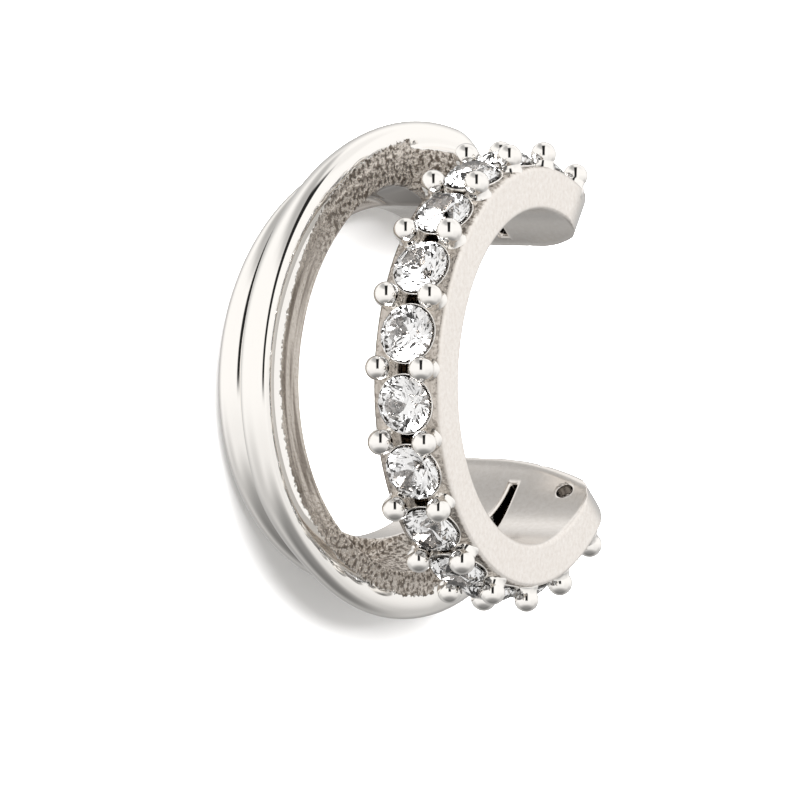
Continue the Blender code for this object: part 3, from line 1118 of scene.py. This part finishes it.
@dataclass(frozen=True)
class Camera:
    """The photograph's view of the ring, fitted to the places of its beads.

    Attributes:
        yaw: How far the view swings from the ring's front towards its band side.
        roll: Lean of the picture.
        front: Angle on the ring that the picture's level plane passes.
        distance: From the ring's middle.
        aside: How far the camera stands right of the ring's middle, and above it.
        row: Axial place of the bead row that the fit starts from.
        lens: Focal length for a 36 mm sensor.
        clip: Nearest and furthest distance seen, in metres.
    """

    yaw: float = 28.45
    roll: float = -1.77
    front: float = -8.54
    distance: float = 198.4
    aside: Pair = (-2.83, -0.525)
    row: float = 0.54
    lens: float = 400.5
    clip: Pair = (0.01, 2.0)

    def axes(self, rest: RestPose) -> tuple[Vector, Vector, Vector]:
        """The picture's right, up and back directions in the cuff's frame."""
        front = math.radians(self.front)
        level = Vector((math.sin(front), -math.cos(front), 0.0))
        rise = Vector((-math.cos(front), -math.sin(front), 0.0))
        along = Vector((0.0, 0.0, 1.0))
        yaw = math.radians(self.yaw)
        roll = math.radians(self.roll)
        back = level * math.cos(yaw) + along * math.sin(yaw)
        flat = along * math.cos(yaw) - level * math.sin(yaw)
        right = flat * math.cos(roll) - rise * math.sin(roll)
        up = flat * math.sin(roll) + rise * math.cos(roll)
        turned = rest.matrix().to_3x3()
        return turned @ right, turned @ up, turned @ back

    def build(self, rest: RestPose) -> Object:
        """Makes the scene's camera."""
        right, up, back = self.axes(rest)
        middle = rest.matrix() @ Vector((0.0, 0.0, self.row * MM))
        place = middle + (back * self.distance + right * self.aside[0] + up * self.aside[1]) * MM
        data = bpy.data.cameras.new("camera")
        data.lens = self.lens
        data.clip_start, data.clip_end = self.clip
        camera = new_object("camera", data)
        turned = Matrix((right, up, back)).transposed().to_4x4()
        camera.matrix_world = Matrix.Translation(place) @ turned
        bpy.context.scene.camera = camera
        return camera


@dataclass(frozen=True)
class Studio:
    """A pale floor in soft light, and a tent of softboxes that the metal mirrors.

    The tent is white, with a narrow dark gap behind the camera, a grey seam overhead, a warm grey
    table below and a side that darkens downwards. It is darker high on the left, behind the cuff and
    at its foot. The floor stays out of the reflections, as a sheet of glass would.
    """

    floor_half: float = 0.35
    floor_drop: float = 0.00001
    warmth: Colour = (1.0, 0.985, 0.965, 1.0)
    white: float = 1.05
    gap_half: float = 0.19
    gap_soft: float = 0.05
    gap_light: float = 0.02
    gap_foot: Pair = (-0.30, 0.0)
    gap_back: Pair = (-0.1, 0.2)
    table_light: float = 0.58
    table_edge: Pair = (-0.60, 0.05)
    table_front: Pair = (-0.5, 0.3)
    table_levels: Pair = (1.0, 0.35)
    roof_light: float = 0.90
    roof_edge: Pair = (0.50, 0.92)
    roof_back: Pair = (-0.52, -0.12)
    roof_front: Pair = (0.05, 0.28)
    side_light: float = 0.92
    side_across: Pair = (0.45, 0.75)
    side_edge: Pair = (-0.22, 0.22)
    left_light: float = 0.50
    left_edge: Pair = (0.55, 0.90)
    left_near: Pair = (-0.30, -0.02)
    left_far: Pair = (-0.90, -0.30)
    left_levels: Pair = (0.3, 1.0)
    left_back: Pair = (-0.95, -0.55)
    foot_light: float = 0.30
    foot_edge: Pair = (-0.98, -0.55)
    back_light: float = 0.50
    back_edge: Pair = (-0.98, -0.55)
    lamp_size: float = 0.75
    lamp_place: Triple = (-0.38, -0.08, 0.42)
    lamp_power: float = 24.0

    def build(self, axes: tuple[Vector, Vector, Vector], paper: Material) -> None:
        """Makes the floor, the lamp and the tent."""
        bm = bmesh.new()
        bmesh.ops.create_grid(bm, x_segments=1, y_segments=1, size=self.floor_half)
        mesh = bpy.data.meshes.new("floor")
        bm.to_mesh(mesh)
        bm.free()
        mesh.materials.append(paper)
        floor = new_object("floor", mesh)
        floor.location.z = -self.floor_drop
        floor.visible_glossy = False
        floor.visible_transmission = False
        self.hang_lamp()
        self.light_tent(axes)

    def hang_lamp(self) -> None:
        """Hangs the wide soft lamp that lights the floor."""
        data = bpy.data.lights.new("soft_lamp", "AREA")
        data.shape = "DISK"
        data.size = self.lamp_size
        data.energy = self.lamp_power
        lamp = new_object("soft_lamp", data)
        place = Vector(self.lamp_place)
        lamp.matrix_world = Matrix.Translation(place) @ place.to_track_quat("Z", "Y").to_matrix().to_4x4()
        lamp.visible_glossy = False

    def light_tent(self, axes: tuple[Vector, Vector, Vector]) -> None:
        """Paints the tent by direction.

        Args:
            axes: The picture's right, up and back directions.
        """
        world = bpy.data.worlds.new("studio")
        bpy.context.scene.world = world
        world.use_nodes = True
        tree = world.node_tree
        tree.nodes.clear()
        place = add_node(tree, "ShaderNodeTexCoord").outputs["Generated"]
        across, rise, towards = [
            add_node(
                tree, "ShaderNodeVectorMath", {0: place, 1: tuple(axis)}, operation="DOT_PRODUCT"
            ).outputs["Value"]
            for axis in axes
        ]
        aside = maths(tree, "ABSOLUTE", across)
        gap_edge = (self.gap_half - self.gap_soft, self.gap_half + self.gap_soft)
        clear = self.ramp(tree, aside, gap_edge, RISING)
        clear_below = self.ramp(tree, rise, self.gap_foot, FALLING)
        clear_behind = self.ramp(tree, towards, self.gap_back, FALLING)
        for other in (clear_below, clear_behind):
            clear = maths(tree, "MAXIMUM", clear, other)
        gap = self.ramp(tree, clear, RISING, (self.gap_light, self.white))
        table = self.product(
            tree,
            self.ramp(tree, rise, self.table_edge, FALLING),
            self.ramp(tree, towards, self.table_front, self.table_levels),
        )
        roof = self.product(
            tree,
            self.ramp(tree, rise, self.roof_edge, RISING),
            self.ramp(tree, towards, self.roof_back, RISING),
            self.ramp(tree, towards, self.roof_front, FALLING),
        )
        side = self.product(
            tree,
            self.ramp(tree, across, self.side_across, RISING),
            self.ramp(tree, rise, self.side_edge, FALLING),
        )
        left = self.product(
            tree,
            self.ramp(tree, rise, self.left_edge, RISING),
            self.ramp(tree, across, self.left_near, FALLING),
            self.ramp(tree, across, self.left_far, self.left_levels),
            self.ramp(tree, towards, self.left_back, RISING),
        )
        light = self.product(
            tree,
            gap,
            self.ramp(tree, left, RISING, (1.0, self.left_light)),
            self.ramp(tree, towards, self.back_edge, (self.back_light, 1.0)),
            self.ramp(tree, rise, self.foot_edge, (self.foot_light, 1.0)),
            self.ramp(tree, table, RISING, (1.0, self.table_light)),
            self.ramp(tree, roof, RISING, (1.0, self.roof_light)),
            self.ramp(tree, side, RISING, (1.0, self.side_light)),
        )
        tent = add_node(tree, "ShaderNodeBackground", {"Color": self.warmth, "Strength": light})
        add_node(tree, "ShaderNodeOutputWorld", {"Surface": tent.outputs[0]})

    def product(self, tree: NodeTree, first: NodeSocket, *others: NodeSocket) -> NodeSocket:
        """The product of two sockets or more."""
        for other in others:
            first = maths(tree, "MULTIPLY", first, other)
        return first

    def ramp(self, tree: NodeTree, value: NodeSocket, edge: Pair, levels: Pair) -> NodeSocket:
        """A soft step from one level to another, as a value passes from one edge to the other."""
        return map_range(tree, value, edge, levels, interpolation_type="SMOOTHSTEP")


def rest_pose(casting: Casting) -> RestPose:
    """Where the ring lies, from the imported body's box and the casting's sizes.

    Args:
        casting: The metal's form.

    Returns:
        The ring's place and lean.
    """
    low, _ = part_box("cuff_body")
    lean = math.radians(casting.low_lean)
    turn = np.linspace(0.0, math.pi, 361)
    wall = casting.high_wall
    half = casting.high_width / 2
    radius = wall + (casting.high_crown - wall) * np.sin(turn)
    offset = casting.high_near(wall, 0.0) - half + half * np.cos(turn)
    front = (-radius * math.cos(lean) + offset * math.sin(lean)).min()
    aside = (casting.high_crown - casting.high_crown_lower) / 2
    return RestPose(casting.low_lean, (aside, low.y / MM - front, casting.low_far_offset * math.cos(lean)))


def main() -> None:
    """Builds the cuff's pieces, dresses them and sets the studio."""
    logging.basicConfig(level=logging.INFO, format="%(message)s")
    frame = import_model()
    casting = Casting()
    setting = Setting(casting)
    rest = rest_pose(casting)
    silver = CastSilver().build()
    crystal = CubicZirconia().build()
    body = CuffBody(casting, setting, rest).build(silver)
    bead_row = RingRow(
        "bead_prongs",
        setting.count + 1,
        setting.pitch,
        setting.bead_radius,
        setting.bead_offsets,
        setting.bead_jitter,
    )
    beads = bead_row.build(Bead().build(), rest, silver)
    rim_row = RingRow("seat_rims", setting.count, setting.pitch, setting.rim_radius)
    collars = rim_row.build(Collar().build(), rest, silver)
    for piece in (body, beads, collars):
        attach(piece, BODY)
        LOG.info("%s: %d faces", piece.name, len(piece.data.polygons))
    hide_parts("cuff_body")
    for name, node in frame["nodes"].items():
        if name.startswith("stone_"):
            node.data.materials.clear()
            node.data.materials.append(crystal)
    camera = Camera()
    camera.build(rest)
    Studio().build(camera.axes(rest), Paper().build())
    bpy.context.scene.view_settings.view_transform = "Standard"


if __name__ == "__main__":
    main()
